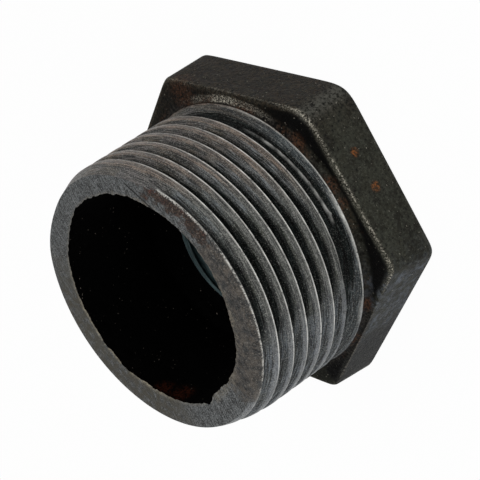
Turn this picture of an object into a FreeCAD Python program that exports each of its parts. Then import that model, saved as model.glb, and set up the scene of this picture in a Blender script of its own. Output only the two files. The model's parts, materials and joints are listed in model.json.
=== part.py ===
import FreeCAD, Part
import os
import Sketcher
from FreeCAD import Vector

# Hexagon reducing bush: one malleable iron casting with machined threads.
# +Z runs from the head's outer face, on which it stands, to the male end.
# Lengths are in millimetres and angles in degrees.

SIZES = {
    # hexagon head, widest at its outer face because the casting has draft
    "head_flats": 37.7,
    "head_thickness": 7.2,
    "head_draft": 2.0,
    "head_corner_radius": 1.8,
    "head_edge_chamfer": 0.5,
    # tapered male end, 11 threads per inch
    "spigot_length": 18.1,
    "male_end_diameter": 32.6,
    "taper_length": 16.0,
    "end_chamfer": 0.25,
    "thread_pitch": 2.309,
    "thread_depth": 1.45,
    "thread_flank_angle": 27.5,
    "thread_lead_in": 1.5,
    # turned neck where the thread runs out, and the collar left behind it
    "neck_width": 2.9,
    "neck_depth": 1.6,
    "collar_height": 0.6,
    "collar_slope": 40.0,
    # cored waterway, open at the male end
    "core_diameter": 26.4,
    # female thread through the head, bored to its minor diameter
    "socket_diameter": 18.63,
    "socket_length": 10.4,
    "socket_inner_chamfer": 0.6,
    "socket_mouth_chamfer": 1.3,
}

doc = FreeCAD.newDocument("ReducingBush")
sheet = doc.addObject("Spreadsheet::Sheet", "Sizes")
for row, (name, value) in enumerate(SIZES.items(), start=1):
    sheet.set(f"A{row}", name)
    sheet.set(f"B{row}", str(value))
    sheet.setAlias(f"B{row}", name)
doc.recompute()

# Places that several features share, as expressions on the sheet.
MALE_END = "(Sizes.head_thickness + Sizes.spigot_length)"
COLLAR_TOP = "(Sizes.head_thickness + Sizes.collar_height)"
SLOPE = "(2 * Sizes.taper_length)"
CUT_OVERRUN = "Sizes.thread_depth"


def taper_radius(height):
    """Outer radius of the tapered male end at a height above the head's outer face."""
    return f"(Sizes.male_end_diameter / 2 + ({MALE_END} - ({height})) / {SLOPE})"


def new_sketch(body, name, role):
    sketch = body.newObject("Sketcher::SketchObject", name)
    plane = next(item for item in body.Origin.OriginFeatures if item.Role == role)
    sketch.AttachmentSupport = [(plane, "")]
    sketch.MapMode = "FlatFace"
    return sketch


def tie_corner(sketch, edge, axis, expression):
    """Holds the start of an edge at a distance from the origin along one sketch axis."""
    if expression == "0":
        other_axis = {"X": -2, "Y": -1}[axis]
        sketch.addConstraint(Sketcher.Constraint("PointOnObject", edge, 1, other_axis))
        return
    value = float(sketch.evalExpression(expression))
    index = sketch.addConstraint(
        Sketcher.Constraint(f"Distance{axis}", -1, 1, edge, 1, value))
    sketch.setExpression(f"Constraints[{index}]", expression)


def draw_outline(sketch, corners):
    """Closed outline of straight edges whose corners follow expressions on the sizes."""
    points = [
        Vector(*(float(sketch.evalExpression(e)) for e in corner)) for corner in corners]
    edges = [
        Part.LineSegment(start, end) for start, end in zip(points, points[1:] + points[:1])]
    sketch.addGeometry(edges, False)
    for edge in range(len(edges)):
        following = (edge + 1) % len(edges)
        sketch.addConstraint(Sketcher.Constraint("Coincident", edge, 2, following, 1))
    for edge, (across, along) in enumerate(corners):
        tie_corner(sketch, edge, "X", across)
        tie_corner(sketch, edge, "Y", along)


def turn(body, kind, name, corners):
    """Adds or removes the ring that an outline sweeps about the bush's axis."""
    sketch = new_sketch(body, f"{name}Outline", "XZ_Plane")
    draw_outline(sketch, corners)
    feature = body.newObject(f"PartDesign::{kind}", name)
    feature.Profile = sketch
    feature.ReferenceAxis = (sketch, ["V_Axis"])
    feature.Angle = 360.0
    doc.recompute()
    return feature


def dress_edges(body, kind, name, wanted, size):
    """Fillets or chamfers the edges of the body's latest feature that the test picks."""
    base = body.Tip
    feature = body.newObject(f"PartDesign::{kind}", name)
    feature.Base = (
        base, [f"Edge{i}" for i, edge in enumerate(base.Shape.Edges, 1) if wanted(edge)])
    feature.setExpression({"Fillet": "Radius", "Chamfer": "Size"}[kind], size)
    doc.recompute()


def climbs(edge):
    return edge.BoundBox.ZLength > sheet.head_thickness / 2


def lies_flat(edge):
    return edge.BoundBox.ZLength < sheet.head_edge_chamfer / 10


def add_head(body):
    """Drafted hexagon with one corner towards +X, corners rounded and rims broken."""
    sketch = new_sketch(body, "HeadOutline", "XY_Plane")
    reach = "Sizes.head_flats / 2 / cos(30)"
    half_flats = "Sizes.head_flats / 2"
    draw_outline(sketch, [
        (reach, "0"),
        (f"{reach} / 2", half_flats),
        (f"-{reach} / 2", half_flats),
        (f"-{reach}", "0"),
        (f"-{reach} / 2", f"-{half_flats}"),
        (f"{reach} / 2", f"-{half_flats}")])
    pad = body.newObject("PartDesign::Pad", "Head")
    pad.Profile = sketch
    pad.setExpression("Length", "Sizes.head_thickness")
    pad.setExpression("TaperAngle", "-Sizes.head_draft")
    doc.recompute()
    dress_edges(body, "Fillet", "HeadCorners", climbs, "Sizes.head_corner_radius")
    dress_edges(body, "Chamfer", "HeadRims", lies_flat, "Sizes.head_edge_chamfer")


def add_spigot(body):
    """Plain taper from inside the head to the male end."""
    root = "Sizes.head_thickness / 2"
    inside = "Sizes.socket_diameter / 2"
    turn(body, "Revolution", "Spigot", [
        (inside, root),
        (taper_radius(root), root),
        (taper_radius(MALE_END), MALE_END),
        (inside, MALE_END)])


def cut_male_thread(body):
    """Right-hand V groove down the taper, from above the male end into the neck."""
    sketch = new_sketch(body, "MaleThreadOutline", "XZ_Plane")
    start = f"({MALE_END} + Sizes.thread_lead_in)"
    crest = taper_radius(start)
    proud = "(Sizes.thread_depth / 5)"
    half_mouth = f"((Sizes.thread_depth + {proud}) * tan(Sizes.thread_flank_angle))"
    draw_outline(sketch, [
        (f"{crest} - Sizes.thread_depth", start),
        (f"{crest} + {proud}", f"{start} - {half_mouth}"),
        (f"{crest} + {proud}", f"{start} + {half_mouth}")])
    groove = body.newObject("PartDesign::SubtractiveHelix", "MaleThread")
    groove.Profile = sketch
    groove.ReferenceAxis = (sketch, ["V_Axis"])
    groove.Mode = "pitch-height-angle"
    groove.Reversed = True
    groove.setExpression("Pitch", "Sizes.thread_pitch")
    groove.setExpression("Height", f"{start} - {COLLAR_TOP} - Sizes.neck_width / 2")
    groove.setExpression("Angle", f"atan(1 / {SLOPE})")
    doc.recompute()


def cut_neck(body):
    """Neck turned behind the thread, which leaves the collar with a sloped side."""
    rim = taper_radius(COLLAR_TOP)
    bottom = f"({rim} - Sizes.neck_depth)"
    slope_width = "(Sizes.neck_depth * tan(Sizes.collar_slope))"
    neck_top = f"({COLLAR_TOP} + Sizes.neck_width)"
    turn(body, "Groove", "Neck", [
        (rim, COLLAR_TOP),
        (bottom, f"{COLLAR_TOP} + {slope_width}"),
        (bottom, neck_top),
        (f"{rim} + {CUT_OVERRUN}", neck_top),
        (f"{rim} + {CUT_OVERRUN}", COLLAR_TOP)])


def chamfer_male_end(body):
    """Takes the sharp edge off the male end where the thread starts."""
    radius = taper_radius(MALE_END)
    above = f"({MALE_END} + {CUT_OVERRUN})"
    turn(body, "Groove", "EndChamfer", [
        (f"{radius} - Sizes.end_chamfer", MALE_END),
        (f"{radius} + {CUT_OVERRUN}", f"{MALE_END} - Sizes.end_chamfer - {CUT_OVERRUN}"),
        (f"{radius} + {CUT_OVERRUN}", above),
        (f"{radius} - Sizes.end_chamfer", above)])


def cut_waterway(body):
    """Cored recess from the male end, meeting the smaller bore through the head."""
    socket = "(Sizes.socket_diameter / 2)"
    ledge = f"({socket} + Sizes.socket_inner_chamfer)"
    ledge_height = "(Sizes.socket_length + Sizes.socket_inner_chamfer)"
    core = "(Sizes.core_diameter / 2)"
    turn(body, "Groove", "Waterway", [
        ("0", "0"),
        (f"{socket} + Sizes.socket_mouth_chamfer", "0"),
        (socket, "Sizes.socket_mouth_chamfer"),
        (socket, "Sizes.socket_length"),
        (ledge, ledge_height),
        (core, ledge_height),
        (core, MALE_END),
        ("0", MALE_END)])


bush = doc.addObject("PartDesign::Body", "ReducingBush")
bush.Label = "reducing_bush"
add_head(bush)
add_spigot(bush)
cut_male_thread(bush)
cut_neck(bush)
chamfer_male_end(bush)
cut_waterway(bush)
doc.recompute()

for item in doc.Objects:
    if "Invalid" in item.State or "Error" in item.State:
        raise RuntimeError(f"{item.Name} did not build")
if bush.Shape.isNull() or not bush.Shape.isValid() or len(bush.Shape.Solids) != 1:
    raise RuntimeError("the bush is not one valid solid")

os.makedirs("parts", exist_ok=True)
bush.Shape.exportStep(os.path.join("parts", f"{bush.Label}.step"))
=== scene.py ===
import json
import math

import bpy
import numpy as np
from mathutils import Matrix, Vector, noise

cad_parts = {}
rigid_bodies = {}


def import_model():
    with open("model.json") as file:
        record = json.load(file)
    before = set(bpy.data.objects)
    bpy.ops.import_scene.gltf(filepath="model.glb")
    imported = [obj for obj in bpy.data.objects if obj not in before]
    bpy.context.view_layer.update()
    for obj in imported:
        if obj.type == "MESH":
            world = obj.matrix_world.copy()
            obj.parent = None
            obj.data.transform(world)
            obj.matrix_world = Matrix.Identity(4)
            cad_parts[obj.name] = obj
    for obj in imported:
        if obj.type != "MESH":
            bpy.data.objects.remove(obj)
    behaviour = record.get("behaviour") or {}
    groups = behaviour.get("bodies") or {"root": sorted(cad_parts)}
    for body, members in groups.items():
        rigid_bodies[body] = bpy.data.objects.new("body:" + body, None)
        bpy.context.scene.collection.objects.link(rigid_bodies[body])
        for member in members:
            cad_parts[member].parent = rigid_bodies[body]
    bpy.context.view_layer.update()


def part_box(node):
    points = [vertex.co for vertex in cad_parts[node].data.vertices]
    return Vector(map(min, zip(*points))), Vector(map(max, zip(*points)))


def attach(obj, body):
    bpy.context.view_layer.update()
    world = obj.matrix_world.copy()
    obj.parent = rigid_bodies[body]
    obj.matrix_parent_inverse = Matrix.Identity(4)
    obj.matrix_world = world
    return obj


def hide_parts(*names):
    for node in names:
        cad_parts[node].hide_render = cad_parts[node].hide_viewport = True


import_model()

# The blank
# A malleable iron casting: hexagon head, plain collar and an open cored waterway.
# It is cast as one piece in sand, so its flats have draft, waves and rounded corners.

# Points nearer than same_point are merged, and what is nearer than touch counts as touching.
MM = 0.001
same_point = 0.001 * MM
touch = 0.01 * MM

# The head is a little wider over its flats than the plain node that it replaces.
node_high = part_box("reducing_bush")[1]
wider = 1.021
half_flats = wider * node_high.y
corner_reach = half_flats / math.cos(math.radians(30))
head_draft = math.tan(math.radians(3.1))
head_top = 7.2 * MM

male_end = node_high.z
collar_top = 7.75 * MM
crest_radius_at_end = 16.6 * MM
taper = 1 / 32
collar_radius = crest_radius_at_end + taper * (male_end - collar_top)

# The core lay a little off centre in the mould.
socket_radius = 9.32 * MM
socket_top = 10.4 * MM
mouth_chamfer = 1.3 * MM
core_radius = 13.47 * MM
core_offset = Vector((0.236, -0.408)) * MM

# Turned surfaces have this many columns of points round the axis. They stop short of each
# other by the weld gap, which is closed when the bush is put together.
columns = 384
weld = 0.06 * MM


def deselect_everything():
    for item in bpy.context.view_layer.objects:
        item.select_set(False)


def work_on(piece):
    """Makes one piece the only selected and the active object."""
    deselect_everything()
    piece.select_set(True)
    bpy.context.view_layer.objects.active = piece


def read_points(piece):
    points = np.empty(len(piece.data.vertices) * 3)
    piece.data.vertices.foreach_get("co", points)
    return points.reshape(-1, 3)


def write_points(piece, points):
    piece.data.vertices.foreach_set("co", points.ravel())
    piece.data.update()


def around_axis(points):
    """Distance from the bush's axis and azimuth in degrees of each point."""
    return (
        np.hypot(points[:, 0], points[:, 1]),
        np.degrees(np.arctan2(points[:, 1], points[:, 0])))


def set_radius(points, wanted):
    """Moves points straight out or in to the wanted distances from the axis."""
    points[:, :2] *= (wanted / np.hypot(points[:, 0], points[:, 1]))[:, None]


def away_from(azimuth, middle):
    """Degrees round the axis from a middle azimuth, -180 to 180."""
    return np.mod(azimuth - middle + 180, 360) - 180


def hump(value, centre, width):
    """1 at the centre and a smooth fall to 0 over about twice the width on both sides."""
    return np.exp(-((value - centre) / width) ** 2)


def section_line(name, stations):
    """An open outline in the plane of azimuth 0, from (radius, height) stations."""
    mesh = bpy.data.meshes.new(name)
    rows = [(radius, 0.0, height) for radius, height in stations]
    mesh.from_pydata(rows, [(i, i + 1) for i in range(len(rows) - 1)], [])
    piece = bpy.data.objects.new(name, mesh)
    bpy.context.scene.collection.objects.link(piece)
    return piece


def stretch(start, end, steps):
    """Evenly spaced stations from start up to, but not including, end."""
    return [
        tuple(a + (b - a) * i / steps for a, b in zip(start, end)) for i in range(steps)]


def arc(centre, radius, start, end, steps):
    """Stations on an arc in the section plane, angles in degrees, last one left out."""
    turns = [math.radians(start + (end - start) * i / steps) for i in range(steps)]
    return [
        (centre[0] + radius * math.cos(a), centre[1] + radius * math.sin(a)) for a in turns]


def turn_on_lathe(name, stations):
    """Spins an outline once round the bush's axis and welds the seam."""
    piece = section_line(name, stations)
    work_on(piece)
    bpy.ops.object.mode_set(mode="EDIT")
    bpy.ops.mesh.select_all(action="SELECT")
    bpy.ops.mesh.spin(
        steps=columns, angle=2 * math.pi, center=(0, 0, 0), axis=(0, 0, 1),
        use_auto_merge=True)
    bpy.ops.mesh.select_all(action="SELECT")
    bpy.ops.mesh.remove_doubles(threshold=same_point)
    bpy.ops.object.mode_set(mode="OBJECT")
    return piece


fillet = 0.45 * MM
fillet_foot = collar_radius + fillet
rim = 0.55 * MM
rim_centre = corner_reach - rim
mouth_radius = socket_radius + mouth_chamfer
outside = turn_on_lathe("casting_outside", (
    stretch((collar_radius, collar_top - weld), (collar_radius, head_top + fillet), 1)
    + arc((fillet_foot, head_top + fillet), fillet, 180, 270, 4)
    + stretch((fillet_foot, head_top), (rim_centre, head_top), 10)
    + arc((rim_centre, head_top - rim), rim, 90, 0, 4)
    + stretch((corner_reach, head_top - rim), (corner_reach, rim), 16)
    + arc((rim_centre, rim), rim, 0, -90, 4)
    + stretch((rim_centre, 0), (mouth_radius, 0), 16)
    + stretch((mouth_radius, 0), (socket_radius + weld, mouth_chamfer - weld), 4)
    + [(socket_radius + weld, mouth_chamfer - weld)]))

ledge = 0.6 * MM
lead_radius = socket_radius + 2.1 * ledge
core_floor = socket_top + ledge
core_fillet = 1.4 * MM
face_width = 1.9 * MM
face_start = crest_radius_at_end - face_width
inside = turn_on_lathe("casting_inside", (
    stretch((socket_radius + weld, socket_top + weld), (lead_radius, core_floor), 3)
    + stretch((lead_radius, core_floor), (core_radius - core_fillet, core_floor), 4)
    + arc((core_radius - core_fillet, core_floor + core_fillet), core_fillet, -90, 0, 6)
    + stretch((core_radius, core_floor + core_fillet), (core_radius, male_end), 20)
    + stretch((core_radius, male_end), (face_start, male_end), 3)
    + [(face_start, male_end)]))

# How far each flat stands out in millimetres, by the azimuth that it faces. The first pair is
# for the corner before that azimuth and the second for the corner after it. In each pair the
# first is at the outer face and the second at the shoulder.
flats = {
    30: ((0.0, 0.2), (0.0, 0.75)),
    90: ((0.0, 0.0), (0.0, 0.0)),
    150: ((0.1, 0.0), (1.25, 0.40)),
    210: ((0.1, 0.0), (0.0, -0.60)),
    270: ((0.25, 0.60), (0.45, 0.15)),
    330: ((0.0, 0.0), (0.0, 0.0))}
soft_corner = -60


def hexagon_reach(azimuth, height):
    """Distance from the axis to the head's side, with draft and rounded corners."""
    sharpness = 50.0 - 24.0 * hump(away_from(azimuth, soft_corner), 0, 15)
    up = np.clip(height / head_top, 0, 1)
    total = np.zeros_like(azimuth)
    for facing, (before, after) in flats.items():
        across = np.radians(np.clip(away_from(azimuth, facing), -30, 30))
        share = (1 + np.tan(across) / math.tan(math.radians(30))) / 2
        low = before[0] + (after[0] - before[0]) * share
        high = before[1] + (after[1] - before[1]) * share
        distance = half_flats - head_draft * height + (low + (high - low) * up) * MM
        towards = np.maximum(np.cos(np.radians(azimuth - facing)), 0.0)
        total += (towards / distance * half_flats) ** sharpness
    return half_flats * total ** (-1 / sharpness)


def swell(azimuth, height):
    """The male end is not quite round: it is fuller to both sides, most near the head."""
    side = np.cos(np.radians(azimuth - 9))
    from_end = np.clip((male_end - height) / (6 * MM), 0, 1)
    growth = from_end * (2 - from_end)
    both_sides = 0.3 * side ** 2 * np.where(side > 0, 1, growth)
    far_side = 0.75 * growth * ((1 - side) / 2) ** 8
    return (both_sides + far_side) * MM


points = read_points(outside)
radius, azimuth = around_axis(points)
height = points[:, 2]
on_shoulder = height > head_top / 2
inner = np.where(on_shoulder, fillet_foot, mouth_radius)
share = (radius - inner) / (corner_reach - inner)
on_head = inner + share * (hexagon_reach(azimuth, height) - inner)
swollen = np.where(on_shoulder, np.clip(1 - share, 0, 1) * swell(azimuth, height), 0)
set_radius(points, np.where(share > 0, on_head, radius) + swollen)
write_points(outside, points)

points = read_points(inside)
radius, azimuth = around_axis(points)
height = points[:, 2]
up_core = np.clip((height - core_floor) / core_fillet, 0, 1)
on_core = np.where(radius < core_radius + touch, up_core, 0)
on_face = np.clip((face_start - radius) / (face_start - core_radius), 0, 1)
at_end = height > male_end - same_point
points[:, :2] += np.where(at_end, on_face, on_core)[:, None] * np.array(core_offset)

# The core's mouth broke away unevenly: ripples as (depth in mm, how fine, seed), and bites
# as (azimuth, reach in degrees, depth outward in mm).
ripples = ((0.22, 3.0, 0.5), (0.12, 11.0, 4.5), (0.16, 34.0, 8.5))
bites = (
    (-176, 4, 0.55), (-160, 12, -0.42), (14, 8, 0.35), (104, 4, 0.25), (109, 3, -0.2),
    (-110, 26, -0.14), (120, 9, 0.2))
breaking_depth = 2.5 * MM
radius, azimuth = around_axis(points)
broken = np.zeros_like(radius)
for depth, fineness, seed in ripples:
    ring = zip(fineness * np.cos(np.radians(azimuth)), fineness * np.sin(np.radians(azimuth)))
    broken += [depth * noise.noise(Vector((across, along, seed))) for across, along in ring]
for centre, reach, bite in bites:
    broken += bite * hump(away_from(azimuth, centre), 0, reach)
down_core = np.clip(1 - (male_end - height) / breaking_depth, 0, 1) ** 2
near_mouth = np.where(at_end, on_face, on_core * down_core)
set_radius(points, radius + near_mouth * broken * MM)
write_points(inside, points)


def add_node(tree, kind, inputs=(), **settings):
    """Adds a shader node and feeds its inputs with sockets or plain values."""
    node = tree.nodes.new("ShaderNode" + kind)
    for name, value in settings.items():
        setattr(node, name, value)
    for name, value in dict(inputs).items():
        if isinstance(value, bpy.types.NodeSocket):
            tree.links.new(value, node.inputs[name])
        else:
            node.inputs[name].default_value = value
    return node


def surface(name, specular):
    """A new material; returns it with its node tree, shader and place in millimetres."""
    material = bpy.data.materials.new(name)
    material.use_nodes = True
    tree = material.node_tree
    shader = tree.nodes["Principled BSDF"]
    shader.inputs["Specular IOR Level"].default_value = specular
    place = add_node(tree, "VectorMath", {
        0: add_node(tree, "TexCoord").outputs["Object"], "Scale": 1 / MM}, operation="SCALE")
    return material, tree, shader, place.outputs["Vector"]


def mottle(tree, place, size, detail=3.0, roughness=0.55, seed=0.0):
    """Noise from 0 to 1 with lumps of the given size in millimetres."""
    return add_node(tree, "TexNoise", {
        "Vector": place, "W": seed, "Scale": 1 / size, "Detail": detail,
        "Roughness": roughness}, noise_dimensions="4D").outputs["Fac"]


def step_up(tree, value, low, high):
    """0 below low, 1 above high; falls instead when low is above high."""
    return add_node(tree, "MapRange", {
        "Value": value, "From Min": low, "From Max": high},
        interpolation_type="SMOOTHSTEP").outputs["Result"]


def spread(tree, value, low, high):
    """Turns 0 to 1 into low to high."""
    return add_node(tree, "MapRange", {
        "Value": value, "To Min": low, "To Max": high}).outputs["Result"]


def calculate(tree, operation, first, second=0.0):
    return add_node(tree, "Math", {0: first, 1: second}, operation=operation).outputs[0]


def multiply(tree, first, *others):
    """The product of shares, which is high only where all of them are."""
    for other in others:
        first = calculate(tree, "MULTIPLY", first, other)
    return first


def paint(tree, share, under, over):
    """Lays one colour over another by a share from 0 to 1."""
    return add_node(tree, "Mix", {
        "Factor": share, 6: under, 7: over}, data_type="RGBA").outputs[2]


def colour(red, green, blue):
    """A colour as read off a screen, 0 to 255, in the linear values that nodes take."""
    return tuple((c / 255) ** 2.2 for c in (red, green, blue)) + (1.0,)


def from_mesh(tree, name):
    """The value that the mesh holds for each point under that name."""
    return add_node(tree, "Attribute", attribute_name=name).outputs["Fac"]


def blot(tree, place, centre, radius, ragged):
    """1 within about a radius of a place on the casting, with a ragged border."""
    away = add_node(tree, "VectorMath", {0: place, 1: centre}, operation="DISTANCE")
    away = calculate(tree, "DIVIDE", away.outputs["Value"], radius)
    return step_up(tree, calculate(tree, "ADD", away, ragged), 1.9, 0.9)


def blots(tree, place, spots, ragged):
    """Several blots, from (centre, radius) in millimetres."""
    share = 0.0
    for centre, radius in spots:
        share = calculate(tree, "MAXIMUM", share, blot(tree, place, centre, radius, ragged))
    return share


def roughen(tree, shader, layers):
    """Chains bumps, each a height and a depth in millimetres, into the shader."""
    normal = None
    for height, depth in layers:
        inputs = {"Height": height, "Distance": depth * MM, "Strength": 1.0}
        if normal is not None:
            inputs["Normal"] = normal
        normal = add_node(tree, "Bump", inputs).outputs["Normal"]
    tree.links.new(normal, shader.inputs["Normal"])


def make_cast_skin():
    """Black scale of a malleable casting, olive to blue, worn to bright grit on rims."""
    material, tree, shader, place = surface("cast_skin", 0.1)
    broad = mottle(tree, place, 3.5, 3.0)
    middle = mottle(tree, place, 0.8, 4.0, 0.65, 2.0)
    fine = mottle(tree, place, 0.2, 4.0, 0.75, 5.0)
    coarse = mottle(tree, place, 0.38, 3.0, 0.7, 14.0)

    # The scale itself, and how the sides, the collar and the shoulder differ from it, the sides
    # and the shoulder partly by painted light and shade.
    tone = paint(tree, step_up(tree, broad, 0.42, 0.6), colour(34, 33, 27), colour(49, 49, 41))
    tone = paint(tree, step_up(tree, middle, 0.40, 0.66), tone, colour(56, 57, 50))
    light = multiply(tree, step_up(tree, coarse, 0.50, 0.68), 0.6)
    tone = paint(tree, light, tone, colour(76, 77, 69))
    tone = paint(tree, step_up(tree, coarse, 0.46, 0.32), tone, colour(17, 16, 13))
    # The warm side: a brown tint, partly rust and partly painted warm light.
    brown = paint(tree, step_up(tree, coarse, 0.4, 0.65), colour(12, 8, 5), colour(52, 40, 28))
    tone = paint(tree, from_mesh(tree, "warm_light_and_rust"), tone, brown)
    # Painted cool light: the lit side and one corner take a lighter blue-grey, as its reflection.
    blue = paint(tree, step_up(tree, middle, 0.44, 0.60), colour(46, 50, 55), colour(92, 98, 106))
    cool = multiply(tree, from_mesh(tree, "painted_cool_light"), step_up(tree, middle, 0.3, 0.6))
    tone = paint(tree, cool, tone, blue)
    # Painted highlight along the head's worn corner near azimuth -60.
    worn = multiply(tree, from_mesh(tree, "worn_corner_highlight"), step_up(tree, coarse, 0.38, 0.58))
    tone = paint(tree, worn, tone, colour(92, 92, 86))
    # Painted shade: the head darkens towards azimuth -180.
    painted_shade_tone = paint(tree, step_up(tree, coarse, 0.46, 0.62), colour(8, 8, 7), colour(42, 43, 41))
    tone = paint(tree, from_mesh(tree, "shaded_end"), tone, painted_shade_tone)
    collar = paint(tree, step_up(tree, broad, 0.46, 0.58), colour(52, 49, 46), colour(66, 46, 33))
    collar = paint(tree, step_up(tree, coarse, 0.42, 0.64), colour(14, 12, 10), collar)
    tone = paint(tree, from_mesh(tree, "collar_side"), tone, collar)
    # Painted shade: the recessed shoulder is made near black.
    tone = paint(tree, from_mesh(tree, "shoulder"), tone, colour(7, 6, 5))
    tone = paint(tree, step_up(tree, fine, 0.46, 0.34), tone, colour(9, 8, 7))

    # Old rust beside the collar and in scattered patches, fresh rust in two small spots.
    scattered = step_up(tree, mottle(tree, place, 1.4, 4.0, 0.7, 8.0), 0.60, 0.75)
    beside_collar = blots(tree, place, (
        ((19.25, -1.3, 7.2), 2.0), ((13.3, -10.6, 7.2), 1.0), ((8.0, -15.6, 7.3), 1.1),
        ((1.9, -16.9, 7.3), 1.2), ((-0.4, -17.4, 7.3), 0.8), ((-12.6, -12.6, 7.2), 0.9)), middle)
    rust = calculate(tree, "MAXIMUM", multiply(tree, scattered, 0.5), beside_collar)
    rust = multiply(
        tree, rust, step_up(tree, fine, 0.42, 0.62), step_up(tree, coarse, 0.36, 0.56))
    tone = paint(tree, rust, tone, colour(82, 54, 38))
    fresh = blots(tree, place, (
        ((3.87, -19.36, 3.78), 0.5), ((-0.68, -19.37, 3.49), 0.6)), broad)
    fresh = multiply(
        tree, fresh, step_up(tree, coarse, 0.40, 0.58), step_up(tree, fine, 0.36, 0.54))
    tone = paint(tree, fresh, tone, colour(132, 80, 42))

    # Bare iron where the rims are worn, and single bright specks all over.
    grit = multiply(tree, from_mesh(tree, "wear"), step_up(tree, fine, 0.46, 0.62))
    specks = step_up(tree, mottle(tree, place, 0.28, 2.0, 0.6, 11.0), 0.66, 0.74)
    grit = calculate(tree, "MAXIMUM", grit, multiply(tree, specks, 0.4))
    tone = paint(tree, grit, tone, colour(196, 190, 174))
    tree.links.new(tone, shader.inputs["Base Color"])
    tree.links.new(spread(tree, middle, 0.45, 0.75), shader.inputs["Roughness"])
    roughen(tree, shader, [(broad, 0.3), (middle, 0.25), (coarse, 0.12), (fine, 0.08)])
    return material


def make_core_skin():
    """Sand-rough black inside of the cored waterway, with a few specks of rust; its black is
    partly oxide, partly painted shade.
    """
    material, tree, shader, place = surface("core_skin", 0.03)
    middle = mottle(tree, place, 1.1, 4.0, 0.65, 3.0)
    fine = mottle(tree, place, 0.3, 3.0, 0.7, 6.0)
    tone = paint(tree, step_up(tree, middle, 0.4, 0.7), colour(3, 3, 3), colour(8, 8, 8))
    rust = blots(tree, place, (((-11.9, 5.2, 24.0), 1.5), ((-10.6, 7.4, 24.4), 1.2)), middle)
    rust = multiply(tree, rust, step_up(tree, fine, 0.4, 0.6))
    tone = paint(tree, rust, tone, colour(50, 26, 17))
    specks = step_up(tree, mottle(tree, place, 0.3, 1.0, 0.5, 9.0), 0.70, 0.76)
    crowded = step_up(tree, mottle(tree, place, 3.0, 1.0, 0.5, 15.0), 0.48, 0.62)
    tone = paint(tree, multiply(tree, specks, crowded), tone, colour(112, 106, 98))
    tree.links.new(tone, shader.inputs["Base Color"])
    shader.inputs["Roughness"].default_value = 0.85
    roughen(tree, shader, [(middle, 0.2), (fine, 0.08)])
    return material


def make_ground_end():
    """End face rubbed on a coarse stone: grey, with slanting scratches and old rust."""
    material, tree, shader, place = surface("ground_end", 0.3)
    along = add_node(tree, "Mapping", {
        "Vector": place, "Rotation": (0, 0, math.radians(152)), "Scale": (0.9, 6.5, 1.0)},
        vector_type="POINT").outputs["Vector"]
    strokes = mottle(tree, along, 1.0, 4.0, 0.7)
    grit = mottle(tree, place, 0.16, 2.0, 0.8, 19.0)
    fine = mottle(tree, place, 0.2, 3.0, 0.75, 4.0)
    middle = mottle(tree, place, 0.9, 4.0, 0.65, 7.0)

    # The stone's strokes, and its grit as light and dark points.
    tone = paint(
        tree, step_up(tree, strokes, 0.40, 0.60), colour(34, 35, 35), colour(100, 103, 104))
    light = multiply(tree, step_up(tree, grit, 0.52, 0.64), 0.6)
    tone = paint(tree, light, tone, colour(140, 142, 142))
    tone = paint(tree, step_up(tree, grit, 0.47, 0.38), tone, colour(22, 22, 22))
    dull = multiply(tree, from_mesh(tree, "far_rim"), step_up(tree, middle, 0.3, 0.6))
    tone = paint(tree, dull, tone, colour(66, 63, 55))

    # Brown stain along one side, and rust beside it with a red share.
    brown = step_up(tree, calculate(tree, "ADD", from_mesh(tree, "end_brown"), middle), 0.8, 1.3)
    grain_of_stain = multiply(tree, calculate(tree, "ADD", fine, middle), 0.5)
    stain = paint(
        tree, step_up(tree, grain_of_stain, 0.42, 0.60), colour(18, 16, 14), colour(90, 82, 73))
    tone = paint(tree, multiply(tree, brown, 0.75), tone, stain)
    ragged = multiply(tree, calculate(tree, "SUBTRACT", middle, 0.5), 2.2)
    rust = step_up(tree, calculate(tree, "ADD", from_mesh(tree, "end_rust"), ragged), 0.62, 0.92)
    scale = paint(tree, step_up(tree, fine, 0.42, 0.6), colour(22, 17, 14), colour(70, 54, 44))
    tone = paint(tree, rust, tone, scale)
    patches = step_up(tree, mottle(tree, place, 1.3, 3.0, 0.6, 23.0), 0.52, 0.66)
    red = multiply(tree, rust, patches, step_up(tree, fine, 0.44, 0.6))
    tone = paint(tree, red, tone, colour(84, 40, 27))

    # Glints, the bright lip of the broken mouth and one long scratch across the face.
    glints = multiply(tree, step_up(tree, fine, 0.58, 0.68), 0.6)
    tone = paint(tree, glints, tone, colour(150, 148, 142))
    lip = multiply(tree, from_mesh(tree, "lip"), step_up(tree, fine, 0.36, 0.56))
    tone = paint(tree, lip, tone, colour(164, 154, 134))
    scratch_start = (13.6, -7.76, 25.3)
    scratch_heading = (-0.861, -0.508, 0.0)
    scratch_side = (0.508, -0.861, 0.0)
    from_start = add_node(
        tree, "VectorMath", {0: place, 1: scratch_start}, operation="SUBTRACT").outputs["Vector"]
    onward, aside = (
        add_node(tree, "VectorMath", {0: from_start, 1: heading},
                 operation="DOT_PRODUCT").outputs["Value"]
        for heading in (scratch_heading, scratch_side))
    wander = multiply(tree, strokes, 0.12)
    from_line = calculate(tree, "ABSOLUTE", calculate(tree, "ADD", aside, wander))
    scratch = multiply(
        tree, step_up(tree, from_line, 0.16, 0.08), step_up(tree, onward, -0.2, 0.3),
        step_up(tree, onward, 5.4, 4.6))
    tone = paint(tree, scratch, tone, colour(10, 10, 10))
    # The feather's burr on the end, painted bright as a glint.
    burr_glint = multiply(
        tree, from_mesh(tree, "burr_glint"), step_up(tree, fine, 0.42, 0.52),
        step_up(tree, middle, 0.36, 0.5))
    tone = paint(tree, burr_glint, tone, colour(232, 230, 222))
    tree.links.new(tone, shader.inputs["Base Color"])
    shader.inputs["Roughness"].default_value = 0.5
    roughen(tree, shader, [(strokes, 0.14), (fine, 0.05)])
    return material


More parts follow.
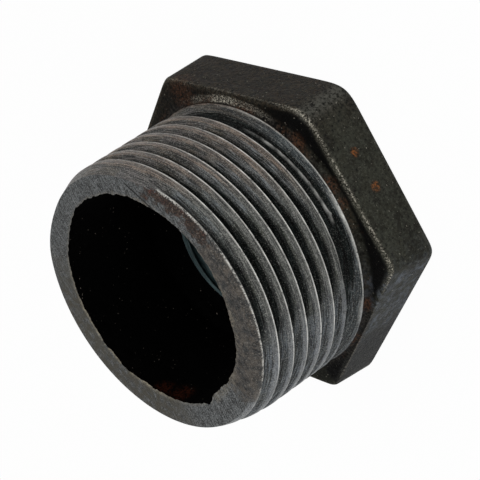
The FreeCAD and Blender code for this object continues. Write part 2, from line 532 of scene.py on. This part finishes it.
def dress(piece, *materials):
    """Gives a piece its materials, in place of any that it has."""
    piece.data.materials.clear()
    for material in materials:
        piece.data.materials.append(material)


dress(outside, make_cast_skin())
dress(inside, make_core_skin(), make_ground_end())
for face in inside.data.polygons:
    if face.center.z > male_end - touch:
        face.material_index = 1

# The male thread
# Eleven threads an inch on a 1 in 16 taper, cut right-handed with a die in one pass.
# The crests are a little flat, and each has a feather of metal along its head side.

pitch = 2.309 * MM
feather_height = 24.69 * MM
feather_azimuth = -81.56

# One pitch of the thread as (drop below the feather, depth), in millimetres.
thread_form = [
    (0.00, 0.00), (0.05, 0.11), (0.36, 0.71), (0.66, 1.30), (0.72, 1.39), (0.80, 1.39),
    (0.86, 1.30), (1.16, 0.71), (1.43, 0.16), (1.52, 0.03), (1.62, 0.00), (1.85, 0.00),
    (2.08, 0.00), (2.25, 0.00), (2.309, 0.00)]
groove_width = 1.6 * MM


def feather_line(azimuth):
    """Height of the first feather, which climbs one pitch in a turn, at an azimuth."""
    return feather_height + pitch * (azimuth - feather_azimuth) / 360


def low_crest_line(azimuth):
    """Height of the low crest left in the neck, seven turns below the first feather."""
    return feather_line(azimuth) - 7 * pitch + 0.23 * MM


def crest_radius(azimuth, height):
    """Radius of the tapered male end over its crests."""
    return crest_radius_at_end + taper * (male_end - height) + swell(azimuth, height)


def smooth_step(value, low, high):
    """0 below low, 1 above high and a smooth rise between."""
    share = np.clip((value - low) / (high - low), 0.0, 1.0)
    return share * share * (3 - 2 * share)


def between(value, start, full, leave, end):
    """Rises from start to full and falls again from leave to end."""
    return smooth_step(value, start, full) * (1 - smooth_step(value, leave, end))


def grain(points, size, seed=0.0):
    """Smooth noise between about -1 and 1, with lumps of the given size."""
    shift = Vector((seed, 1.7 * seed, -seed))
    return np.array([noise.noise(Vector(point / size) + shift) for point in points]) * 1.6


def cut_thread(name, form, radius, lead, start, turns, steps):
    """Screws one pitch of a thread form up the axis, right-handed."""
    piece = section_line(name, [
        (radius - depth * MM, start - drop * MM) for drop, depth in form])
    work_on(piece)
    bpy.ops.object.modifier_add(type="SCREW")
    screw = piece.modifiers[-1]
    screw.axis = "Z"
    screw.angle = 2 * math.pi
    screw.screw_offset = lead
    screw.iterations = turns
    screw.steps = steps
    screw.render_steps = steps
    screw.use_smooth_shade = True
    bpy.ops.object.modifier_apply(modifier=screw.name)
    bpy.ops.object.mode_set(mode="EDIT")
    bpy.ops.mesh.select_all(action="SELECT")
    bpy.ops.mesh.remove_doubles(threshold=2 * same_point)
    bpy.ops.object.mode_set(mode="OBJECT")
    return piece


def trim(piece, height, keep_above):
    """Cuts a piece across at a height and throws one side away."""
    work_on(piece)
    bpy.ops.object.mode_set(mode="EDIT")
    bpy.ops.mesh.select_all(action="SELECT")
    bpy.ops.mesh.bisect(
        plane_co=(0, 0, height), plane_no=(0, 0, 1), use_fill=False,
        clear_inner=keep_above, clear_outer=not keep_above, threshold=same_point / 10)
    bpy.ops.object.mode_set(mode="OBJECT")


turns_cut = 10
male_thread = cut_thread(
    "male_thread", thread_form, crest_radius_at_end, pitch, feather_line(0) - 8 * pitch,
    turns_cut, columns)

points = read_points(male_thread)
radius, azimuth = around_axis(points)
height = points[:, 2]
depth = crest_radius_at_end - radius
feather = feather_line(azimuth)

# Where the die started, the first groove is faint and the end is worn to a slope.
worn_start = smooth_step(azimuth, -66, -30)
shallow = 0.93 * worn_start + 0.42 * between(azimuth, -168, -150, -66, -48)
depth *= np.where(height > feather - groove_width, 1 - shallow, 1)
depth *= np.where(height > feather + pitch - groove_width, 0.07, 1)
slope_length = 1.7 * MM
slope = np.clip(1 - (male_end - height) / slope_length, 0, 1) * between(azimuth, -66, -30, 25, 60)
rounded = np.clip((height - feather) / (male_end - feather), 0, 1) ** 2
rounded *= between(azimuth, -158, -135, -62, -40)
depth = np.maximum(depth, 0.7 * MM * slope + 0.8 * MM * rounded)

# The neck behind the thread, as (height, depth) in millimetres, leaves one low, broken crest
# beside the collar's slope, with a torn lump near the end of it.
neck_line = [
    (7.75, 0.0), (7.85, 0.05), (8.60, 1.08), (8.90, 1.22), (9.30, 1.42), (10.15, 1.45),
    (10.45, 0.9), (10.75, 0.0)]
neck = np.interp(height / MM, *zip(*neck_line)) * MM
low_crest = low_crest_line(azimuth)
torn_lump = 1.4 * hump(azimuth, -93, 1.6)
ridge = np.clip(0.6 + 0.5 * grain(points, 0.45 * MM, 3.0), 0, 2) + torn_lump
ridge *= hump(height, low_crest, 0.11 * MM)
ridge *= smooth_step(-azimuth, 20, 60) * (1 - smooth_step(-azimuth, 94, 104))
neck -= 0.24 * MM * ridge
depth = np.maximum(np.where(height < low_crest + 1.0 * MM, 0, depth), neck)

# The sharp edge is taken off where the thread meets the end.
crest = crest_radius(azimuth, height)
end_drop = np.clip(1 - (male_end - height) / (0.35 * MM), 0, 1)
end_drop = 0.12 * MM * end_drop ** 2 * between(azimuth, -170, -150, 20, 50)
set_radius(points, np.minimum(crest - depth, crest - end_drop))
write_points(male_thread, points)
trim(male_thread, male_end, keep_above=False)
trim(male_thread, collar_top, keep_above=True)


def turned_place(tree, place, along, across):
    """Coordinates that run round the bush, so that noise makes turned streaks."""
    parts = add_node(tree, "SeparateXYZ", {0: place}).outputs
    flat = add_node(tree, "CombineXYZ", {"X": parts["X"], "Y": parts["Y"]}).outputs[0]
    radius = add_node(tree, "VectorMath", {0: flat}, operation="LENGTH").outputs["Value"]
    ring = add_node(tree, "VectorMath", {0: flat}, operation="NORMALIZE").outputs["Vector"]
    typical_radius = 16.0
    ring = add_node(
        tree, "VectorMath", {0: ring, "Scale": typical_radius / along},
        operation="SCALE").outputs["Vector"]
    offset = add_node(tree, "CombineXYZ", {
        "Z": calculate(tree, "DIVIDE", radius, across)}).outputs[0]
    vector = add_node(tree, "VectorMath", {0: ring, 1: offset}, operation="ADD").outputs["Vector"]
    return vector, calculate(tree, "DIVIDE", parts["Z"], across)


def streaks(tree, place, along, across, seed):
    """Turned streaks from 0 to 1, by their length and width in millimetres."""
    vector, height = turned_place(tree, place, along, across)
    return add_node(tree, "TexNoise", {
        "Vector": vector, "W": calculate(tree, "ADD", height, seed), "Scale": 1.0,
        "Detail": 3.0, "Roughness": 0.65}, noise_dimensions="4D").outputs["Fac"]


def make_cut_thread():
    """Die-cut flanks in bright grey under a dark film, torn crests and black roots, the roots'
    black partly painted shade.
    """
    material, tree, shader, place = surface("cut_thread", 0.4)
    depth = from_mesh(tree, "depth")
    warm = from_mesh(tree, "warm_light_and_rust")
    cool = from_mesh(tree, "painted_cool_light")
    dark = from_mesh(tree, "painted_shade_side")
    rings = streaks(tree, place, 3.5, 0.125, 0.0)
    lines = streaks(tree, place, 2.2, 0.075, 17.0)
    tears = streaks(tree, place, 0.4, 0.2, 31.0)
    fine = mottle(tree, place, 0.2, 3.0, 0.75, 4.0)
    broad = mottle(tree, place, 4.0, 2.0, 0.5, 9.0)
    pits = mottle(tree, place, 0.15, 2.0, 0.7, 27.0)

    # The flanks, grey to olive, and how the sides differ: warmer, cooler and brighter where light
    # is painted, olive in painted shade.
    flank = paint(
        tree, step_up(tree, broad, 0.42, 0.58), colour(106, 112, 116), colour(78, 81, 71))
    # Painted warm light on the warm side's flanks.
    flank = paint(tree, multiply(tree, warm, 0.7), flank, colour(112, 95, 83))
    # Painted cool light on the lit side's flanks.
    flank = paint(tree, cool, flank, colour(112, 119, 127))
    # Painted light: the brightest side's flanks are lighter.
    flank = paint(tree, from_mesh(tree, "painted_light_side"), flank, colour(128, 135, 139))
    # Painted shade: olive flanks on the darker side.
    olive = paint(tree, step_up(tree, tears, 0.40, 0.60), colour(40, 42, 36), colour(92, 94, 84))
    flank = paint(tree, multiply(tree, dark, 0.6), flank, olive)
    flank = paint(tree, step_up(tree, rings, 0.54, 0.42), flank, colour(22, 24, 23))

    # The torn crests, pink on the warm side and blue-grey on the cool side as painted light, and
    # the neck behind the thread.
    torn = paint(tree, step_up(tree, rings, 0.42, 0.60), colour(46, 48, 45), colour(118, 119, 114))
    pink = paint(tree, step_up(tree, rings, 0.42, 0.6), colour(70, 57, 47), colour(164, 139, 120))
    # Painted warm light, partly rust: pink crests on the warm side.
    torn = paint(tree, warm, torn, pink)
    # Painted cool light: blue-grey crests on the lit side.
    torn = paint(tree, cool, torn, colour(118, 124, 132))
    torn = paint(tree, step_up(tree, tears, 0.44, 0.32), torn, colour(24, 22, 20))
    tone = paint(tree, step_up(tree, depth, 0.03, 0.12), torn, flank)
    neck = paint(tree, step_up(tree, lines, 0.44, 0.60), colour(12, 17, 19), colour(70, 80, 84))
    tone = paint(tree, from_mesh(tree, "neck"), tone, neck)

    # Tool lines over all of it, and a black film that lies thickest in the roots: partly oxide,
    # partly painted shade in the roots.
    tone = paint(tree, step_up(tree, lines, 0.47, 0.39), tone, colour(14, 15, 14))
    light = multiply(tree, step_up(tree, lines, 0.56, 0.66), 0.5)
    tone = paint(tree, light, tone, colour(140, 140, 134))
    uneven = multiply(tree, calculate(tree, "SUBTRACT", rings, 0.5), 1.1)
    film = calculate(tree, "ADD", depth, uneven)
    # Painted shade: the film is heavier on the shaded side and thinner on the lit side.
    film = calculate(tree, "ADD", film, multiply(tree, dark, 0.34))
    film = calculate(tree, "SUBTRACT", film, multiply(tree, cool, 0.42))
    film = step_up(tree, film, 0.47, 0.72)
    black = paint(tree, step_up(tree, lines, 0.46, 0.64), colour(3, 5, 5), colour(44, 51, 50))
    tone = paint(tree, film, tone, black)

    # Pits, sparks of bare metal, and the feather as a bright burr, its brightness a painted glint.
    holes = multiply(tree, step_up(tree, pits, 0.47, 0.37), 0.85)
    tone = paint(tree, holes, tone, colour(14, 15, 14))
    bare = calculate(tree, "SUBTRACT", 0.6, multiply(tree, film, 0.42))
    sparks = multiply(tree, step_up(tree, pits, 0.55, 0.65), bare)
    tone = paint(tree, sparks, tone, colour(168, 168, 162))
    burr_glint = multiply(tree, from_mesh(tree, "burr_glint"), step_up(tree, tears, 0.30, 0.46))
    tone = paint(tree, burr_glint, tone, colour(244, 244, 238))
    tree.links.new(tone, shader.inputs["Base Color"])
    tree.links.new(multiply(tree, burr_glint, 0.5), shader.inputs["Metallic"])
    tree.links.new(spread(tree, rings, 0.32, 0.6), shader.inputs["Roughness"])
    tree.links.new(spread(tree, film, 0.45, 0.08), shader.inputs["Specular IOR Level"])
    roughen(tree, shader, [(rings, 0.16), (lines, 0.08), (tears, 0.08), (fine, 0.03)])
    return material


dress(male_thread, make_cut_thread())

# The socket thread
# The smaller female thread, fourteen to the inch, tapped through the head.
# It starts behind the mouth's chamfer and runs out into the cored waterway.

socket_pitch = 1.814 * MM
socket_form = [
    (0.00, 0.00), (0.12, 0.00), (0.60, -0.92), (0.71, -1.10), (0.81, -1.12),
    (0.95, -1.05), (1.45, -0.12), (1.56, 0.0), (1.814, 0.00)]
socket_turns = 7
run_out = 0.5 * MM
socket_thread = cut_thread(
    "socket_thread", socket_form, socket_radius, socket_pitch,
    mouth_chamfer - socket_pitch / 2, socket_turns, columns // 2)
points = read_points(socket_thread)
radius = around_axis(points)[0]
height = points[:, 2]
fade = np.clip((height - mouth_chamfer) / run_out, 0, 1)
fade *= np.clip((socket_top - height) / run_out, 0, 1)
set_radius(points, socket_radius + (radius - socket_radius) * fade)
write_points(socket_thread, points)
trim(socket_thread, mouth_chamfer, keep_above=True)
trim(socket_thread, socket_top, keep_above=False)


def make_tapped_iron():
    """Tapped threads and their lead, dark with a blue-green film that is partly a painted
    reflection.
    """
    material, tree, shader, place = surface("tapped_iron", 0.4)
    rings = streaks(tree, place, 3.0, 0.2, 12.0)
    tone = paint(tree, step_up(tree, rings, 0.3, 0.7), colour(36, 52, 55), colour(88, 112, 114))
    tree.links.new(tone, shader.inputs["Base Color"])
    shader.inputs["Roughness"].default_value = 0.5
    roughen(tree, shader, [(rings, 0.06)])
    return material


dress(socket_thread, make_tapped_iron())

# The finished bush
# All of it is one piece of iron, so the cast, turned and cut surfaces are welded together.
# Its wear, rust, and painted light and shade are stored point by point, by where they lie round
# the axis.


def open_edges_near(piece, height, low, high):
    """Selects the open edges at a height whose radius lies in a range."""
    work_on(piece)
    bpy.ops.object.mode_set(mode="EDIT")
    bpy.ops.mesh.select_all(action="DESELECT")
    bpy.ops.mesh.select_mode(type="EDGE")
    bpy.ops.mesh.select_non_manifold(
        extend=False, use_wire=False, use_boundary=True, use_multi_face=False,
        use_non_contiguous=False, use_verts=False)
    bpy.ops.object.mode_set(mode="OBJECT")
    points = read_points(piece)
    radius = around_axis(points)[0]
    wanted = (abs(points[:, 2] - height) < weld) & (radius > low) & (radius < high)
    for edge in piece.data.edges:
        edge.select = edge.select and bool(wanted[edge.vertices[0]] and wanted[edge.vertices[1]])
    for vertex in piece.data.vertices:
        vertex.select = False
    for face in piece.data.polygons:
        face.select = False


def bridge(piece, height, low, high):
    """Closes the gap between two open rims near a height."""
    open_edges_near(piece, height, low, high)
    bpy.ops.object.mode_set(mode="EDIT")
    bpy.ops.mesh.bridge_edge_loops()
    bpy.ops.object.mode_set(mode="OBJECT")


thread_rims = (14 * MM, 20 * MM)
socket_rims = (8 * MM, 12 * MM)
deselect_everything()
for part in (male_thread, socket_thread, inside, outside):
    part.select_set(True)
bpy.context.view_layer.objects.active = outside
bpy.ops.object.join()
bush = outside
bush.name = "bush_casting"
bush.data.name = "bush_casting"
open_edges_near(bush, male_end, *thread_rims)
bpy.ops.object.mode_set(mode="EDIT")
bpy.ops.mesh.fill(use_beauty=True)
bpy.ops.object.mode_set(mode="OBJECT")
bridge(bush, collar_top - weld / 2, *thread_rims)
bridge(bush, mouth_chamfer - weld / 2, *socket_rims)
bridge(bush, socket_top + weld / 2, *socket_rims)
work_on(bush)
bpy.ops.object.mode_set(mode="EDIT")
bpy.ops.mesh.select_all(action="SELECT")
bpy.ops.mesh.remove_doubles(threshold=same_point)
bpy.ops.mesh.normals_make_consistent(inside=False)
bpy.ops.object.mode_set(mode="OBJECT")
bpy.ops.object.shade_smooth_by_angle(angle=math.radians(30))

# The stone ground the end face and, on the near side, the crest's rounded start.
ground_end = [material.name for material in bush.data.materials].index("ground_end")
for face in bush.data.polygons:
    turned = math.degrees(math.atan2(face.center.y, face.center.x))
    on_end = face.center.z > male_end - touch and abs(face.normal.z) > 0.9
    past_feather = -152 < turned < -44 and face.center.z > feather_line(turned)
    off_mouth = face.center.xy.length > core_radius + 1.2 * MM
    if on_end or (past_feather and off_mouth):
        face.material_index = ground_end


def mark(name, values):
    """Stores one value for each point of the bush, which the materials read by name."""
    attribute = bush.data.attributes.new(name, "FLOAT", "POINT")
    attribute.data.foreach_set("value", np.ascontiguousarray(values, dtype=np.float32))


points = read_points(bush)
radius, azimuth = around_axis(points)
height = points[:, 2]
crest = crest_radius(azimuth, height)
torn_edge = 0.5 + 0.5 * grain(points, 1.1 * MM, 6.0)
patchy = 0.5 + 0.5 * grain(points, 2.6 * MM, 4.0)
near_side = between(azimuth, -150, -128, -50, -20)

# Burrs: the feather along each crest, the low crest in the neck and the collar's edge, their
# brightness a painted glint, strongest on the near side.
below = np.mod(feather_line(azimuth) - height, pitch)
from_feather = np.minimum(below, pitch - below)
burr_glint = np.clip(1.4 - from_feather / (0.13 * MM), 0, 1) * (crest - radius < 0.3 * MM)
burr_glint *= (height > 10 * MM) * (0.3 + 0.7 * near_side) * (0.5 + 0.5 * torn_edge)
ridge = np.clip(1.2 - abs(height - low_crest_line(azimuth)) / (0.09 * MM), 0, 1)
ridge *= (height > collar_top + 0.3 * MM) * (radius > 14 * MM)
ridge *= 0.9 * torn_edge * between(azimuth, -98, -93, -58, -38)
collar_edge = np.clip(1 - abs(height - collar_top - 0.03 * MM) / (0.08 * MM), 0, 1)
collar_edge *= (radius > collar_radius - 0.3 * MM) * near_side
mark("burr_glint", np.clip(np.maximum(np.maximum(burr_glint, ridge), collar_edge), 0, 1))

# The thread's depth and neck, and the sides painted warmer, cooler, brighter and darker as painted
# light and shade, the warm side partly rust.
groove_depth = 1.4 * MM
mark("depth", np.clip((crest - radius) / groove_depth, 0, 1) * (height > collar_top - touch))
in_neck = between(height, collar_top, collar_top + 0.12 * MM, 9.6 * MM, 10.2 * MM)
in_neck *= radius < crest + 2 * touch
mark("neck", in_neck * (1 - 0.85 * between(azimuth, -58, -34, 40, 60)))
# The warm side, partly painted warm light and partly a rust tint.
leaning = azimuth + 1.8 * (male_end - height) / MM
warm = np.where(
    height < collar_top, between(azimuth, -75, -55, 20, 50), between(leaning, -62, -34, 45, 75))
mark("warm_light_and_rust", warm * (0.55 + 0.3 * torn_edge))
# Painted cool light and its reflection: a lit side of the thread and a blue-grey corner of the
# head.
cool_corner_reflection = 1.2 * hump(azimuth, -124, 4.0) * (height < collar_top)
cool = np.maximum(cool_corner_reflection, between(azimuth, -190, -160, -136, -108))
mark("painted_cool_light", cool * (0.4 + 0.4 * torn_edge))
# Painted light on the thread's brightest side.
mark("painted_light_side", between(azimuth, -84, -72, -54, -44) * torn_edge)
# Painted shade on the thread's darker side, which also thickens the black film.
mark("painted_shade_side", between(azimuth, -132, -114, -92, -60))
# Painted highlight along the head's worn corner near azimuth -60.
mark("worn_corner_highlight", 0.8 * hump(azimuth, -60.5, 3.0) * (height < collar_top))

# The shoulder between the collar and the head's rim, black with painted shade away from the
# collar, most on one side.
from_rim = hexagon_reach(azimuth, height) - radius
from_collar = radius - collar_radius - swell(azimuth, height)
on_shoulder = (height > head_top - 0.3 * MM) & (height < collar_top)
collar_side = on_shoulder * between(from_collar, -0.1 * MM, 0.0, 0.5 * MM, 1.2 * MM)
mark("collar_side", collar_side * (0.9 - 0.45 * between(azimuth, -140, -120, -75, -60)))
shoulder = on_shoulder * smooth_step(from_collar, 0.5 * MM, 1.2 * MM)
shoulder *= smooth_step(from_rim, 0.3 * MM, 1.0 * MM)
mark("shoulder", shoulder * (0.45 + 0.55 * smooth_step(-azimuth, 35, 55)))

# Bare grit along the head's front rim, most of it at the near corner, and beside the collar. At
# that corner it is partly a painted highlight.
front_rim = hump(height, head_top - 0.16 * MM, 0.13 * MM) * (from_rim < 0.6 * MM)
favoured = 0.35 + 0.65 * between(azimuth, -128, -118, -62, -50)
worn = front_rim * (favoured + 0.4 * hump(azimuth, -60, 9)) * (0.4 + 0.9 * patchy)
gritty = on_shoulder * between(from_collar, 0.0, 0.2 * MM, 0.7 * MM, 1.1 * MM)
gritty *= between(azimuth, -52, -40, -14, -5) * patchy
mark("wear", np.clip(np.maximum(worn, 1.3 * gritty), 0, 1))
# Painted shade on the head towards azimuth -180.
mark("shaded_end", 0.9 * smooth_step(-azimuth, 146, 160) * (height < head_top + touch))

# The end face: dull on the far rim, bright at the broken lip, and stained on the near side.
from_core = np.hypot(points[:, 0] - core_offset.x, points[:, 1] - core_offset.y)
at_mouth = (height > male_end - touch) & (from_core < core_radius + 0.25 * MM)
lip = at_mouth * (0.3 + 0.7 * between(azimuth, 45, 80, 140, 165))
mark("lip", lip * (0.4 + 0.6 * torn_edge))
mark("far_rim", between(azimuth, 40, 75, 150, 175))
outer_part = smooth_step(radius, 13.9 * MM, 15.3 * MM)
mark("end_rust", between(azimuth, -84, -72, -42, -32) * outer_part)
mark("end_brown", between(azimuth, -165, -140, -80, -68))
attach(bush, "root")
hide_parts("reducing_bush")

# The floor
# A sheet of white paper under the head's outer face, on which the bush stands.
# It looks as white as the room to the camera and keeps part of the bush's shadow.

sheet_width = 4.0
paper_grey = 0.75
paper_glow = 0.97
bpy.ops.mesh.primitive_plane_add(size=sheet_width, location=(0, 0, 0))
floor = bpy.context.object
floor.name = "floor"
paper, paper_tree, paper_shader, _ = surface("white_paper", 0.0)
paper_shader.inputs["Base Color"].default_value = (paper_grey, paper_grey, paper_grey, 1)
paper_shader.inputs["Roughness"].default_value = 1.0
rays = add_node(paper_tree, "LightPath").outputs
seen = calculate(paper_tree, "MAXIMUM", rays["Is Camera Ray"], rays["Is Glossy Ray"])
seen = calculate(paper_tree, "MAXIMUM", seen, rays["Is Transmission Ray"])
glow = add_node(paper_tree, "Emission", {"Color": (1, 1, 1, 1), "Strength": 1.0})
white = add_node(paper_tree, "MixShader", {
    0: multiply(paper_tree, seen, paper_glow), 1: paper_shader.outputs["BSDF"],
    2: glow.outputs["Emission"]})
paper_tree.links.new(
    white.outputs["Shader"], paper_tree.nodes["Material Output"].inputs["Surface"])
dress(floor, paper)

# The camera
# A long lens near the bush, rolled so that the male end points down to the left.
# Its place, aim and roll were fitted to the rims, the corners and the thread crests.

camera_data = bpy.data.cameras.new("photo_camera")
camera_data.lens = 105
camera_data.sensor_width = 36
camera_data.clip_start = 0.01
camera_data.clip_end = 10
camera = bpy.data.objects.new("photo_camera", camera_data)
bpy.context.scene.collection.objects.link(camera)
camera_place = Vector((18.42, -134.72, 111.66)) * MM
camera_aim = Vector((1.003, -6.19, 14.0)) * MM
camera_roll = math.radians(123.71)
gaze = (camera_aim - camera_place).to_track_quat("-Z", "Y").to_matrix()
camera.matrix_world = Matrix.Translation(camera_place) @ (
    gaze @ Matrix.Rotation(-camera_roll, 3, "Z")).to_4x4()
bpy.context.scene.camera = camera
bpy.context.scene.view_settings.view_transform = "Standard"

# The light
# A white room, which lights the bush at half the strength that the camera sees.
# One soft panel stands low on the head's right and one over the male end.

room_light = 0.5
room_seen = 1.0
room = bpy.data.worlds.new("white_room")
bpy.context.scene.world = room
room.use_nodes = True
rays = add_node(room.node_tree, "LightPath").outputs
background = room.node_tree.nodes["Background"]
background.inputs["Color"].default_value = (1, 1, 1, 1)
room.node_tree.links.new(
    spread(room.node_tree, rays["Is Camera Ray"], room_light, room_seen),
    background.inputs["Strength"])


def add_panel(name, place, width, power):
    """A soft square panel that faces the bush."""
    lamp = bpy.data.lights.new(name, "AREA")
    lamp.size = width
    lamp.energy = power
    holder = bpy.data.objects.new(name, lamp)
    holder.location = place
    holder.rotation_mode = "QUATERNION"
    holder.rotation_quaternion = (camera_aim - Vector(place)).to_track_quat("-Z", "Y")
    bpy.context.scene.collection.objects.link(holder)


add_panel("right_panel", (-0.33, -0.28, 0.18), 0.22, 0.6)
add_panel("end_panel", (0.20, -0.12, 0.42), 0.25, 0.7)
